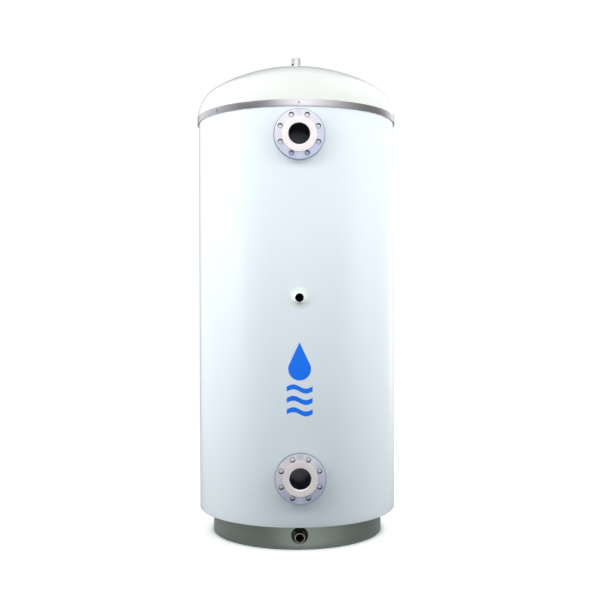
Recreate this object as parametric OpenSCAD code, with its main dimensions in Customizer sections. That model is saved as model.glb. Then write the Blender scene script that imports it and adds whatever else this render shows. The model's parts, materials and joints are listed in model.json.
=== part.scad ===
// Flanged hot water storage cylinder for a solar heating circuit.
// Millimetres, +Z up, floor at z = 0, tank axis on Z, connections facing -Y.

/* [Jacket] */
// Outside diameter of the white jacket
jacket_d = 850; // [640:10:1100]
// Thickness of the jacket sheet
jacket_t = 1; // [0.8:0.1:2]
// Height of the jacket's bottom edge above the floor
jacket_bottom_z = 102; // [95:1:160]
// Length of jacket seen between its bottom edge and the cover band
jacket_visible_h = 1660; // [1300:10:2200]
// Width of the lip turned inwards at the jacket's bottom edge
jacket_lip_w = 14; // [8:1:24]
// Width of the cover strip over the joint at the back of the jacket
joint_strip_w = 36; // [24:1:60]
// Thickness of the joint strip
joint_strip_t = 0.8; // [0.6:0.1:1.5]
// Rivets in each of the strip's two rows
joint_rivet_rows = 9; // [4:1:14]

/* [Base] */
// Wall of the stainless base ring
base_ring_t = 3; // [2:0.5:6]
// Width of the foot turned inwards under the base ring
foot_w = 22; // [10:1:40]
// Diameter of the drain opening in the base ring
drain_opening_d = 68; // [60:1:80]
// Thickness of the tray that closes the insulation at the bottom
tray_t = 1.2; // [0.8:0.1:2]
// Height of the tray's turned-up rims
tray_rim_h = 12; // [6:1:24]

/* [Cover] */
// Wall of the moulded dome cover
cover_t = 3; // [2:0.5:5]
// Radial gap between the jacket and the cover's lip
cover_gap = 2; // [1:0.5:5]
// Height of the stainless band round the cover's lip
band_h = 28; // [20:1:50]
// Thickness of the band
band_t = 1.2; // [0.6:0.1:2]
// Angle from one band screw to the next
band_screw_pitch = 50; // [30:1:60]
// Number of band screws
band_screw_count = 6; // [4:1:6]

/* [Insulation and vessel] */
// Thickness of the foam between vessel and jacket
insulation_t = 58; // [40:1:100]
// Thickness of the foam between the vessel and the cover
top_insulation_t = 58; // [50:1:100]
// Wall of the vessel's cylinder
shell_t = 2.5; // [1.5:0.5:6]
// Wall of the vessel's dished ends
head_t = 3; // [2:0.5:8]
// Straight edge on each dished end
head_straight = 15; // [10:1:30]
// Height of the vessel's lowest point above the floor
vessel_clear_z = 100; // [96:1:150]

/* [Ports] */
// Outside diameter of the port pipes (DN 80)
port_pipe_d = 88.9; // [60.3, 76.1, 88.9]
// Wall of the port pipes
port_pipe_t = 3.2; // [2:0.1:3.6]
// Distance from the jacket to the port's sealing face
port_stand_out = 70; // [55:1:120]
// Diameter of the port's sealing face
seal_face_d = 138; // [124:1:140]
// Thickness of the collar behind the sealing face
collar_t = 4; // [3:0.5:8]
// Wall of the collar's neck
collar_wall = 4.45; // [4.25:0.05:8]
// Length of the collar, face to weld
collar_l = 42; // [36:1:48]
// Outside diameter of the loose flange
flange_d = 200; // [200:1:220]
// Thickness of the loose flange
flange_t = 20; // [14:1:24]
// Bolt circle of the loose flange
bolt_circle_d = 160; // [160:1:170]
// Bolt holes in the loose flange
bolt_count = 8; // [4, 8]
// Diameter of the bolt holes
bolt_hole_d = 18; // [14:1:18]
// Distance from the upper flange's rim to the cover band
upper_port_gap = 20; // [10:1:200]
// Clear height between the vessel's lower weld and the lower port pipe
lower_port_clear = 8; // [6:1:100]

/* [Sockets] */
// Outside diameter of the threaded sockets (G 1)
socket_d = 42; // [40:0.5:46]
// Minor diameter of the sockets' thread
thread_d = 30.3; // [28:0.1:31]
// Length of the sockets' thread
thread_l = 22; // [16:1:30]
// Outside diameter of the pipes that the sockets sit on
socket_pipe_d = 33.7; // [30:0.1:36]
// Wall of those pipes
socket_pipe_t = 2.6; // [2:0.1:3.2]
// Height of the sensor port above the lower port
sensor_above_lower = 701; // [300:1:850]
// Diameter of the sensor port's white rosette
rosette_d = 82; // [64:1:110]
// How far the rosette stands out from the jacket
rosette_h = 18; // [10:1:26]
// Height of the drain above the floor
drain_z = 50; // [46:1:56]
// How far the drain socket stands out of the base ring
drain_stand_out = 15; // [2:1:30]
// Height of the top socket above the cover
top_socket_h = 53; // [30:1:90]
// Diameter of the small vent hole in the top socket
vent_hole_d = 9; // [4:0.5:10]

/* [Plates and marks] */
// Width of the blue mark on the front
mark_w = 102; // [60:1:140]
// Height of the blue mark's middle above the floor
mark_z = 682; // [500:1:800]
// Width of the blank data plate
plate_w = 105; // [80:1:140]
// Height of the blank data plate
plate_h = 62; // [40:1:90]
// Height of the data plate's middle above the floor
plate_z = 420; // [300:1:700]

/* [Hidden] */
$fn = 128;

fit = 0.3;          // clearance between pieces that lie against each other
foam_gap = 0.5;     // clearance round the foam
weld_gap = 0.2;     // clearance of a pipe in the hole that it is welded into
cut = 5;            // how far a cutting shape runs past what it cuts
arc_points = 16;    // segments in each arc of a dished profile

// Radii, from the jacket inwards
jacket_r = jacket_d / 2;
jacket_in_r = jacket_r - jacket_t;
foam_out_r = jacket_in_r - foam_gap;
base_ring_r = foam_out_r - insulation_t - foam_gap;
vessel_r = base_ring_r - base_ring_t - fit;
shell_in_r = vessel_r - shell_t;
cover_in_r = jacket_r + cover_gap;
cover_r = cover_in_r + cover_t;
band_in_r = cover_r + fit;
band_r = band_in_r + band_t;

// A dished end is a crown and a knuckle that meet without an edge
head_crown = 2 * vessel_r;
head_knuckle = 0.1 * 2 * vessel_r;
cover_crown = 0.83 * 2 * cover_r;
cover_knuckle = 0.16 * 2 * cover_r;
head_h = dish_height(vessel_r, head_crown, head_knuckle);
cover_h = dish_height(cover_r, cover_crown, cover_knuckle);

// Heights
band_bottom_z = jacket_bottom_z + jacket_visible_h;
band_top_z = band_bottom_z + band_h;
band_mid_z = (band_bottom_z + band_top_z) / 2;
jacket_top_z = band_top_z - 5;
cover_top_z = band_top_z + cover_h;
vessel_low_z = vessel_clear_z + head_h;
vessel_high_z = cover_top_z - cover_t - 2 * foam_gap - top_insulation_t - head_h;
weld_low_z = vessel_low_z + head_straight;
weld_high_z = vessel_high_z - head_straight;
base_ring_top_z = weld_low_z - 3;
tray_z = jacket_bottom_z + jacket_t + fit;
foam_split_z = band_top_z - 3;

// Ports, measured outwards from the tank axis
port_pipe_r = port_pipe_d / 2;
collar_bore_r = port_pipe_r - collar_wall;
port_face = jacket_r + port_stand_out;
port_pipe_end = port_face - collar_l;
flange_front = port_face - collar_t - fit;
flange_bore_r = port_pipe_r + 1.6;
seal_hole_r = port_pipe_r + 7.5;
seal_lip_r = seal_hole_r + 10;
seal_start = jacket_r - 20;
upper_port_z = band_bottom_z - upper_port_gap - flange_d / 2;
lower_port_z = weld_low_z + lower_port_clear + port_pipe_r;
stamp_r = (flange_d - seal_face_d) / 4 - 2;
stamp_at = (flange_d + seal_face_d) / 4 - 1;
stamp_depth = 0.8;

// Sockets
socket_r = socket_d / 2;
socket_pipe_r = socket_pipe_d / 2;
socket_bore_r = socket_pipe_r - socket_pipe_t;
sensor_z = lower_port_z + sensor_above_lower;
sensor_face = jacket_in_r - 3.5;
rosette_hole_r = socket_r + 3;
rosette_bore_r = thread_d / 2 + 1.85;
drain_end = base_ring_r + drain_stand_out;
drain_socket_l = 40;
drain_bend_r = 38;
drain_opening_z = drain_z + 7;
drain_pipe_stop = drain_end - thread_l - 4;
top_socket_z = cover_top_z + top_socket_h;
top_socket_l = 76;
top_pipe_stop = top_socket_z - thread_l - 20;
vent_hole_z = top_socket_z - thread_l - 6.5;
top_hole_r = socket_r + 3;

// Profile helpers
function dish_height(r, crown, knuckle) =
    crown - sqrt(pow(crown - knuckle, 2) - pow(r - knuckle, 2));

// Points from the rim (r, 0) over knuckle and crown to the middle (0, height)
function dish(r, crown, knuckle) =
    let (
        drop = sqrt(pow(crown - knuckle, 2) - pow(r - knuckle, 2)),
        meet = atan2(drop, r - knuckle)
    )
    concat(
        [for (i = [0:arc_points]) let (a = meet * i / arc_points)
            [r - knuckle + knuckle * cos(a), knuckle * sin(a)]],
        [for (i = [1:arc_points]) let (a = meet + (90 - meet) * i / arc_points)
            [max(0, crown * cos(a)), crown * sin(a) - drop]]);

// The same profile moved inwards by t, or outwards where t is below zero
function dish_in(r, crown, knuckle, t) = dish(r - t, crown - t, knuckle - t);

function lifted(points, z, up = 1) = [for (p = points) [p[0], z + up * p[1]]];
function reversed(points) = [for (i = [len(points) - 1:-1:0]) points[i]];

// Shape helpers
module tube(r_out, r_in, z0, z1) {
    translate([0, 0, z0])
        difference() {
            cylinder(r = r_out, h = z1 - z0);
            translate([0, 0, -cut]) cylinder(r = r_in, h = z1 - z0 + 2 * cut);
        }
}

module rod(r, z0, z1) {
    translate([0, 0, z0]) cylinder(r = r, h = z1 - z0);
}

// Turns local +Z outwards to the front, at height z
module facing_front(z) {
    translate([0, 0, z]) rotate([90, 0, 0]) children();
}

// Turns local +Z outwards at an angle from the front, negative to the left
module facing(angle, z) {
    rotate([0, 0, angle]) facing_front(z) children();
}

// A sheet bent to the jacket's curve, cut to the outline of its children
module on_jacket(angle, z, t) {
    intersection() {
        tube(jacket_r + fit + t, jacket_r + fit, z - 400, z + 400);
        facing(angle, z)
            translate([0, 0, jacket_r / 2]) linear_extrude(jacket_r) children();
    }
}

// Base
module base_ring() {
    color("slategray")
        difference() {
            union() {
                tube(base_ring_r, base_ring_r - base_ring_t, 0, base_ring_top_z);
                tube(base_ring_r - base_ring_t / 2, base_ring_r - foot_w, 0, base_ring_t);
            }
            facing_front(drain_opening_z) rod(drain_opening_d / 2, base_ring_r / 2, base_ring_r + cut);
        }
}

module base_tray() {
    in_r = base_ring_r + foam_gap;
    color("silver")
        rotate_extrude()
            polygon([
                [in_r, tray_z], [foam_out_r, tray_z], [foam_out_r, tray_z + tray_rim_h],
                [foam_out_r - tray_t, tray_z + tray_rim_h], [foam_out_r - tray_t, tray_z + tray_t],
                [in_r + tray_t, tray_z + tray_t], [in_r + tray_t, tray_z + tray_rim_h],
                [in_r, tray_z + tray_rim_h]
            ]);
}

// Jacket
module jacket() {
    slit_w = 1.5;
    color("white")
        difference() {
            union() {
                tube(jacket_r, jacket_in_r, jacket_bottom_z, jacket_top_z);
                tube(jacket_r - jacket_t / 2, jacket_r - jacket_lip_w,
                    jacket_bottom_z, jacket_bottom_z + jacket_t);
            }
            facing_front(upper_port_z) rod(seal_hole_r, jacket_r / 2, jacket_r + cut);
            facing_front(lower_port_z) rod(seal_hole_r, jacket_r / 2, jacket_r + cut);
            facing_front(sensor_z) rod(rosette_hole_r, jacket_r / 2, jacket_r + cut);
            band_screw_places() rod(screw_hole_r, jacket_r - cut, jacket_r + cut);
            joint_rivet_places() rod(rivet_shank_r + weld_gap, jacket_r - cut, jacket_r + cut);
            data_rivet_places() rod(data_rivet_r + weld_gap, jacket_r - cut, jacket_r + cut);
            translate([-slit_w / 2, jacket_r / 2, 0]) cube([slit_w, jacket_r, jacket_top_z + cut]);
        }
}

rivet_shank_r = 2;
rivet_head_r = 4.2;
rivet_head_t = 1.3;

// Two upright rows of rivets, one on each side of the joint
module joint_rivet_places() {
    first_z = jacket_bottom_z + 50;
    last_z = band_bottom_z - 40;
    side = atan(joint_strip_w / 4 / jacket_r);
    for (i = [0:joint_rivet_rows - 1], s = [-1, 1])
        facing(180 + s * side, first_z + (last_z - first_z) * i / (joint_rivet_rows - 1)) children();
}

module jacket_joint_strip() {
    height = band_bottom_z - jacket_bottom_z - 6;
    color("white")
        difference() {
            intersection() {
                tube(jacket_r + fit + joint_strip_t, jacket_r + fit,
                    jacket_bottom_z + 4, jacket_bottom_z + 4 + height);
                translate([-joint_strip_w / 2, 0, 0]) cube([joint_strip_w, jacket_d, band_top_z]);
            }
            joint_rivet_places()
                rod(rivet_shank_r + weld_gap, jacket_r - cut, jacket_r + cut);
        }
}

module jacket_joint_rivets() {
    seat = jacket_r + fit + joint_strip_t;
    color("silver")
        joint_rivet_places() {
            rod(rivet_shank_r, jacket_in_r - fit, seat + fit);
            rod(rivet_head_r, seat + fit / 2, seat + fit / 2 + rivet_head_t);
        }
}

// Data plate, blank, behind the right side
plate_angle = 140;
plate_t = 0.8;
data_rivet_r = 1.5;

module data_rivet_places() {
    side = atan((plate_w / 2 - 7) / jacket_r);
    for (s = [-1, 1], u = [-1, 1])
        facing(plate_angle + s * side, plate_z + u * (plate_h / 2 - 7)) children();
}

module data_plate() {
    color("silver")
        difference() {
            on_jacket(plate_angle, plate_z, plate_t)
                translate([-plate_w / 2, -plate_h / 2]) square([plate_w, plate_h]);
            data_rivet_places() rod(data_rivet_r + weld_gap, jacket_r - cut, jacket_r + cut);
        }
}

module data_plate_rivets() {
    seat = jacket_r + fit + plate_t;
    color("silver")
        data_rivet_places() {
            rod(data_rivet_r, jacket_in_r - fit, seat + fit);
            rod(3, seat + fit / 2, seat + fit / 2 + 0.9);
        }
}

// A generic water mark: one drop over three waves
module front_mark() {
    drop_r = 0.44 * mark_w;
    drop_y = 0.45 * mark_w;
    wave_pitch = 0.44 * mark_w;
    tip = 2.35 * drop_r;
    side = acos(drop_r / tip);
    color("dodgerblue")
        on_jacket(0, mark_z, 0.3) {
            translate([0, drop_y]) {
                circle(r = drop_r);
                polygon([
                    [0, tip], [-drop_r * sin(side), drop_r * cos(side)],
                    [0, 0], [drop_r * sin(side), drop_r * cos(side)]
                ]);
            }
            for (i = [0:2])
                translate([0, drop_y - drop_r - 0.33 * mark_w - i * wave_pitch]) mark_wave();
        }
}

// One full wave, level at both ends
module mark_wave() {
    parts = 16;
    height = 0.085 * mark_w;
    half_t = 0.095 * mark_w;
    line = [for (i = [0:parts]) [mark_w * (i / parts - 0.5), height * sin(360 * i / parts)]];
    polygon(concat(
        [for (p = line) [p[0], p[1] - half_t]],
        reversed([for (p = line) [p[0], p[1] + half_t]])));
}

// Cover
module top_cover() {
    lip_z = band_bottom_z + 1;
    color("whitesmoke")
        difference() {
            rotate_extrude()
                polygon(concat(
                    [[cover_r, lip_z]],
                    lifted(dish(cover_r, cover_crown, cover_knuckle), band_top_z),
                    reversed(lifted(dish_in(cover_r, cover_crown, cover_knuckle, cover_t), band_top_z)),
                    [[cover_in_r, lip_z]]));
            rod(top_hole_r, band_top_z, cover_top_z + cut);
            band_screw_places() rod(screw_hole_r, jacket_r - cut, band_r + cut);
        }
}

module cover_band() {
    split_w = 4;
    color("lightgray")
        difference() {
            tube(band_r, band_in_r, band_bottom_z, band_top_z);
            translate([-split_w / 2, jacket_r / 2, 0]) cube([split_w, jacket_r, band_top_z + cut]);
            band_screw_places() rod(screw_hole_r, jacket_r - cut, band_r + cut);
        }
}

screw_r = 2;
screw_hole_r = screw_r + 0.2;
screw_head_r = 3.6;
screw_head_t = 2.2;
screw_reach = 6;    // how far a screw goes in past the jacket's surface

module band_screw_places() {
    for (i = [0:band_screw_count - 1]) facing(-i * band_screw_pitch, band_mid_z) children();
}

module cover_band_screws() {
    seat = band_r + fit / 2;
    color("dimgray")
        band_screw_places()
            difference() {
                union() {
                    rod(screw_r, jacket_r - screw_reach, seat + 0.5);
                    rod(screw_head_r, seat, seat + screw_head_t);
                }
                for (a = [0, 90])
                    rotate([0, 0, a])
                        translate([-0.5, -2, seat + screw_head_t - 1.2]) cube([1, 4, 2]);
            }
}

module top_grommet() {
    in_r = socket_r + fit;
    color("gainsboro") {
        rotate_extrude()
            polygon([
                [in_r, cover_top_z - 7], [top_hole_r - fit, cover_top_z - 7],
                [top_hole_r - fit, cover_top_z + fit], [top_hole_r + 5, cover_top_z + fit],
                [top_hole_r + 5, cover_top_z + 1.2], [top_hole_r + 3.5, cover_top_z + 2.8],
                [in_r, cover_top_z + 2.8]
            ]);
    }
}

// Insulation
module insulation_sleeve() {
    tray_top = tray_z + tray_t + foam_gap;
    rim_top = tray_z + tray_rim_h + foam_gap;
    ring_in = base_ring_r + foam_gap;
    rim_gap = tray_t + foam_gap;
    shoulder_z = band_mid_z - 10;
    color("khaki")
        difference() {
            rotate_extrude()
                polygon([
                    [ring_in + rim_gap, tray_top], [foam_out_r - rim_gap, tray_top],
                    [foam_out_r - rim_gap, rim_top], [foam_out_r, rim_top],
                    [foam_out_r, shoulder_z], [jacket_r - screw_reach - 2, shoulder_z],
                    [jacket_r - screw_reach - 2, foam_split_z - fit],
                    [vessel_r + foam_gap, foam_split_z - fit],
                    [vessel_r + foam_gap, base_ring_top_z + foam_gap],
                    [ring_in, base_ring_top_z + foam_gap], [ring_in, rim_top],
                    [ring_in + rim_gap, rim_top]
                ]);
            for (z = [upper_port_z, lower_port_z])
                facing_front(z) {
                    rod(port_pipe_r + foam_gap, vessel_r / 2, jacket_r);
                    rod(seal_hole_r, seal_start - foam_gap, jacket_r);
                }
            facing_front(sensor_z) {
                rod(socket_r + foam_gap, vessel_r / 2, jacket_r);
                rod(rosette_hole_r, sensor_face - 9, jacket_r);
            }
        }
}

module insulation_top() {
    color("khaki")
        difference() {
            rotate_extrude()
                polygon(concat(
                    [[vessel_r + foam_gap, foam_split_z], [cover_in_r - foam_gap, foam_split_z]],
                    lifted(dish_in(cover_r, cover_crown, cover_knuckle, cover_t + foam_gap), band_top_z),
                    reversed(lifted(dish_in(vessel_r, head_crown, head_knuckle, -foam_gap),
                        vessel_high_z))));
            rod(socket_pipe_r + foam_gap, vessel_high_z, cover_top_z);
            rod(top_hole_r, top_socket_z - top_socket_l - foam_gap, cover_top_z);
        }
}

module insulation_base() {
    pad_z = drain_z + socket_pipe_r + 6;
    color("khaki")
        difference() {
            rotate_extrude()
                intersection() {
                    polygon(concat(
                        [[0, 0], [vessel_r, 0]],
                        lifted(dish_in(vessel_r, head_crown, head_knuckle, -foam_gap),
                            vessel_low_z, -1)));
                    translate([0, pad_z]) square([vessel_r, vessel_low_z - pad_z - 20]);
                }
            rod(drain_bend_r + socket_pipe_r, 0, vessel_clear_z + 2 * cut);
        }
}

// Vessel
module vessel_shell() {
    color("lightsteelblue")
        difference() {
            tube(vessel_r, shell_in_r, weld_low_z, weld_high_z);
            for (z = [upper_port_z, lower_port_z])
                facing_front(z) rod(port_pipe_r + weld_gap, vessel_r / 2, vessel_r + cut);
            facing_front(sensor_z) rod(socket_r + weld_gap, vessel_r / 2, vessel_r + cut);
        }
}

// A dished end with its straight edge; up is 1 for the top and -1 for the bottom
module dished_end(z, up) {
    rotate_extrude()
        polygon(concat(
            [[vessel_r, z - up * head_straight]],
            lifted(dish(vessel_r, head_crown, head_knuckle), z, up),
            reversed(lifted(dish_in(vessel_r, head_crown, head_knuckle, head_t), z, up)),
            [[vessel_r - head_t, z - up * head_straight]]));
}

module vessel_top_head() {
    color("lightsteelblue")
        difference() {
            dished_end(vessel_high_z, 1);
            rod(socket_pipe_r + weld_gap, vessel_high_z, vessel_high_z + head_h + cut);
        }
}

module vessel_bottom_head() {
    color("lightsteelblue")
        difference() {
            dished_end(vessel_low_z, -1);
            rod(socket_pipe_r + weld_gap, vessel_clear_z - cut, vessel_low_z);
        }
}

// Top connection
module top_pipe() {
    color("lightgray")
        tube(socket_pipe_r, socket_bore_r, vessel_high_z + head_h - head_t - 3, top_pipe_stop);
}

// A socket along +Z whose thread opens at z1 and whose back fits over a pipe that stops at stop
module socket(z0, stop, z1) {
    difference() {
        rod(socket_r, z0, z1);
        rod(thread_d / 2, z1 - thread_l, z1 + cut);
        rod(socket_bore_r, z0 - cut, z1);
        rod(socket_pipe_r + weld_gap, z0 - cut, stop + weld_gap);
    }
}

module top_socket() {
    vent_angle = -43;
    color("whitesmoke")
        difference() {
            socket(top_socket_z - top_socket_l, top_pipe_stop, top_socket_z);
            facing(vent_angle, vent_hole_z) rod(vent_hole_d / 2, 5, socket_r + cut);
        }
}

// Ports: pipe, pressed collar, loose flange, seal and diffuser
module nozzle_pipe(z) {
    color("lightgray")
        facing_front(z)
            tube(port_pipe_r, port_pipe_r - port_pipe_t, shell_in_r - 6, port_pipe_end);
}

module collar(z) {
    edge_r = 4;
    color("antiquewhite")
        facing_front(z)
            rotate_extrude()
                polygon(concat(
                    [
                        [collar_bore_r, port_pipe_end], [port_pipe_r, port_pipe_end],
                        [port_pipe_r, port_face - collar_t], [seal_face_d / 2, port_face - collar_t],
                        [seal_face_d / 2, port_face - 0.8], [seal_face_d / 2 - 0.8, port_face]
                    ],
                    [for (i = [0:6]) let (a = 90 * (1 + i / 6))
                        [collar_bore_r + edge_r + edge_r * cos(a), port_face - edge_r + edge_r * sin(a)]]));
}

module loose_flange(z) {
    back = flange_front - flange_t;
    edge = 2.5;
    bore_edge = 3;
    color("lavender")
        facing_front(z)
            difference() {
                rotate_extrude()
                    polygon([
                        [flange_bore_r, back], [flange_d / 2 - edge, back],
                        [flange_d / 2, back + edge], [flange_d / 2, flange_front - edge],
                        [flange_d / 2 - edge, flange_front], [flange_bore_r + bore_edge, flange_front],
                        [flange_bore_r, flange_front - bore_edge]
                    ]);
                for (i = [0:bolt_count - 1])
                    rotate([0, 0, (i + 0.5) * 360 / bolt_count])
                        translate([bolt_circle_d / 2, 0, 0])
                            rod(bolt_hole_d / 2, back - cut, flange_front + cut);
                for (s = [-1, 1])
                    translate([0, s * stamp_at, 0])
                        rod(stamp_r, flange_front - stamp_depth, flange_front + cut);
            }
}

module nozzle_seal(z) {
    lip_t = 2.5;
    color("whitesmoke")
        difference() {
            union() {
                facing_front(z) rod(seal_hole_r - fit, seal_start, jacket_r + 1);
                intersection() {
                    facing_front(z) rod(seal_lip_r, jacket_r / 2, jacket_r + 10);
                    tube(jacket_r + fit + lip_t, jacket_r + fit, z - 100, z + 100);
                }
            }
            facing_front(z) rod(port_pipe_r + fit, jacket_r / 2, jacket_r + 20);
        }
}

module diffuser(z) {
    plate_r = port_pipe_r + 32;
    plate_at = shell_in_r - 62;
    leg_at = port_pipe_r + 16;
    wall_r = min(shell_in_r, vessel_r - head_t) - fit;
    side_end = sqrt(pow(wall_r, 2) - pow(leg_at + 5, 2));
    color("lightgray")
        facing_front(z) {
            rod(plate_r, plate_at - 3, plate_at);
            for (s = [-1, 1]) {
                translate([s * leg_at, 0, 0]) rod(5, plate_at - 1, side_end);
                translate([0, s * leg_at, 0]) rod(5, plate_at - 1, sqrt(pow(wall_r, 2) - 25));
            }
        }
}

module upper_nozzle_pipe() { nozzle_pipe(upper_port_z); }
module upper_collar() { collar(upper_port_z); }
module upper_loose_flange() { loose_flange(upper_port_z); }
module upper_nozzle_seal() { nozzle_seal(upper_port_z); }
module upper_diffuser() { diffuser(upper_port_z); }
module lower_nozzle_pipe() { nozzle_pipe(lower_port_z); }
module lower_collar() { collar(lower_port_z); }
module lower_loose_flange() { loose_flange(lower_port_z); }
module lower_nozzle_seal() { nozzle_seal(lower_port_z); }
module lower_diffuser() { diffuser(lower_port_z); }

// Sensor port
module sensor_socket() {
    color("tan")
        facing_front(sensor_z)
            difference() {
                rod(socket_r, shell_in_r - 6, sensor_face);
                rod(thread_d / 2, sensor_face - thread_l, sensor_face + cut);
                rod(socket_bore_r, vessel_r / 2, jacket_r);
            }
}

module sensor_rosette() {
    tip = jacket_r + rosette_h;
    rim = jacket_r + 2.5;
    tip_r = rosette_bore_r + 3;
    rim_r = rosette_d / 2;
    sleeve_in = socket_r + foam_gap;
    shoulder = sensor_face + 1.5;
    color("white")
        union() {
            facing_front(sensor_z)
                rotate_extrude()
                    polygon([
                        [sleeve_in, sensor_face - 8], [rosette_hole_r - fit, sensor_face - 8],
                        [rosette_hole_r - fit, rim], [rosette_bore_r, rim],
                        [rosette_bore_r, shoulder], [sleeve_in, shoulder]
                    ]);
            difference() {
                facing_front(sensor_z)
                    rotate_extrude()
                        polygon(concat(
                            [
                                [rosette_bore_r, jacket_r - 1], [rim_r - 0.5, jacket_r - cut],
                                [rim_r, jacket_r], [rim_r, rim - 0.8], [rim_r - 0.8, rim]
                            ],
                            [for (i = [1:9]) let (s = i / 10)
                                [rim_r - 0.8 - (rim_r - tip_r - 0.8) * sin(90 * s),
                                    rim + (tip - rim) * (1 - cos(90 * s))]],
                            [[tip_r, tip - 0.8], [tip_r - 0.8, tip], [rosette_bore_r + 0.8, tip],
                                [rosette_bore_r, tip - 0.8]]));
                cylinder(r = jacket_r + fit, h = band_top_z);
            }
        }
}

// Drain
module drain_elbow() {
    stub_z = vessel_clear_z + head_t + 3;
    color("lightgray") {
        translate([0, 0, drain_z])
            tube(socket_pipe_r, socket_bore_r, drain_bend_r, stub_z - drain_z);
        translate([0, -drain_bend_r, drain_z + drain_bend_r])
            rotate([-90, 0, 90])
                rotate_extrude(angle = 90)
                    translate([drain_bend_r, 0])
                        difference() {
                            circle(r = socket_pipe_r);
                            circle(r = socket_bore_r);
                        }
    }
}

module drain_pipe() {
    color("lightgray")
        facing_front(drain_z) tube(socket_pipe_r, socket_bore_r, drain_bend_r, drain_pipe_stop);
}

module drain_socket() {
    color("darkkhaki")
        facing_front(drain_z) socket(drain_end - drain_socket_l, drain_pipe_stop, drain_end);
}

base_ring();
base_tray();
jacket();
jacket_joint_strip();
jacket_joint_rivets();
data_plate();
data_plate_rivets();
front_mark();
top_cover();
cover_band();
cover_band_screws();
top_grommet();
insulation_sleeve();
insulation_top();
insulation_base();
vessel_shell();
vessel_top_head();
vessel_bottom_head();
top_pipe();
top_socket();
upper_nozzle_pipe();
upper_collar();
upper_loose_flange();
upper_nozzle_seal();
upper_diffuser();
lower_nozzle_pipe();
lower_collar();
lower_loose_flange();
lower_nozzle_seal();
lower_diffuser();
sensor_socket();
sensor_rosette();
drain_elbow();
drain_pipe();
drain_socket();
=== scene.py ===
"""Looks of a flanged hot water cylinder: white jacket and domed cover, stainless band and base ring."""

import json
import math

import bpy
from mathutils import Matrix, Vector


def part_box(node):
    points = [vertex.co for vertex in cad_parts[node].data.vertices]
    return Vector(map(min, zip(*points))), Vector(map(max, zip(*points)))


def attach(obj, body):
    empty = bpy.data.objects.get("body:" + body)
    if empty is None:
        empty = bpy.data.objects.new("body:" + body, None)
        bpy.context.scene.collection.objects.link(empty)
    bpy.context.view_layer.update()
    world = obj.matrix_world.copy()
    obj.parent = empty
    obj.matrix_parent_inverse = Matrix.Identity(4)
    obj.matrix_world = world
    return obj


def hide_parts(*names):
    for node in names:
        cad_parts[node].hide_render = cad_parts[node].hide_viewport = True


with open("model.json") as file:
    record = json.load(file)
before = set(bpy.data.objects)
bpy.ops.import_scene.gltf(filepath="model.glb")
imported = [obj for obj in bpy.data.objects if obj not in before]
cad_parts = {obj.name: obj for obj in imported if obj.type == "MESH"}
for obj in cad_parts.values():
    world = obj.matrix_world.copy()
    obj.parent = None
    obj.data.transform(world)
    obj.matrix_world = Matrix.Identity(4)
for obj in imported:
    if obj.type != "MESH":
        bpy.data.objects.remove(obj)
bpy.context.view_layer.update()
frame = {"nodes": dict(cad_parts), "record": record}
cad = frame["nodes"]

MM = 0.001
ROUND_STEPS = 160      # faces round the jacket, cover, band and base ring
SMALL_STEPS = 64       # faces round sockets and pipes
UP = Vector((0, 0, 1))
FRONT = Vector((0, -1, 0))


# ---------------------------------------------------------------- modelling

def pick_nothing():
    if bpy.context.object and bpy.context.object.mode != "OBJECT":
        bpy.ops.object.mode_set(mode="OBJECT")
    bpy.ops.object.select_all(action="DESELECT")


def pick(piece):
    pick_nothing()
    piece.select_set(True)
    bpy.context.view_layer.objects.active = piece


def edit(piece, choose="SELECT"):
    pick(piece)
    bpy.ops.object.mode_set(mode="EDIT")
    bpy.ops.mesh.select_mode(type="VERT")
    bpy.ops.mesh.select_all(action=choose)


def settle(piece, smooth_angle=32):
    """Joins what touches, points faces outwards, and leaves the object at the origin."""
    edit(piece)
    bpy.ops.mesh.remove_doubles(threshold=0.01 * MM)
    bpy.ops.mesh.normals_make_consistent(inside=False)
    bpy.ops.object.mode_set(mode="OBJECT")
    bpy.ops.object.transform_apply(location=True, rotation=True, scale=True)
    bpy.ops.object.shade_smooth_by_angle(angle=math.radians(smooth_angle))
    return piece


def turn(name, rings, centre=(0, 0, 0), axis=UP, steps=SMALL_STEPS):
    """A closed ring-shaped piece, as turned on a lathe.

    rings are (radius, distance along the axis) round the wall's section, ending next to the first.
    """
    centre = Vector(centre)
    tilt = (math.radians(90), 0, 0) if axis == FRONT else (0, 0, 0)
    first_r, first_h = rings[0]
    pick_nothing()
    bpy.ops.mesh.primitive_circle_add(
        vertices=steps, radius=first_r, location=centre + axis * first_h, rotation=tilt)
    piece = bpy.context.active_object
    piece.name = name
    edit(piece)
    at_r, at_h = first_r, first_h
    for r, h in rings[1:] + rings[:1]:
        bpy.ops.mesh.extrude_region_move(
            TRANSFORM_OT_translate={"value": axis * (h - at_h)})
        size = r / at_r
        across = (size, 1, size) if axis == FRONT else (size, size, 1)
        if abs(size - 1) > 1e-9:
            bpy.ops.transform.resize(value=across, center_override=centre)
        at_r, at_h = r, h
    bpy.ops.object.mode_set(mode="OBJECT")
    return settle(piece)


def rod(name, radius, start, length, axis=FRONT, steps=SMALL_STEPS):
    """A plain round bar, used as a cutter or as the blank of a small piece."""
    tilt = (math.radians(90), 0, 0) if axis == FRONT else (0, 0, 0)
    pick_nothing()
    bpy.ops.mesh.primitive_cylinder_add(
        vertices=steps, radius=radius, depth=length,
        location=Vector(start) + axis * length / 2, rotation=tilt)
    piece = bpy.context.active_object
    piece.name = name
    return settle(piece)


def apply_modifier(piece, kind, **settings):
    pick(piece)
    bpy.ops.object.modifier_add(type=kind)
    modifier = piece.modifiers[-1]
    for key, value in settings.items():
        setattr(modifier, key, value)
    bpy.ops.object.modifier_apply(modifier=modifier.name)


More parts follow.
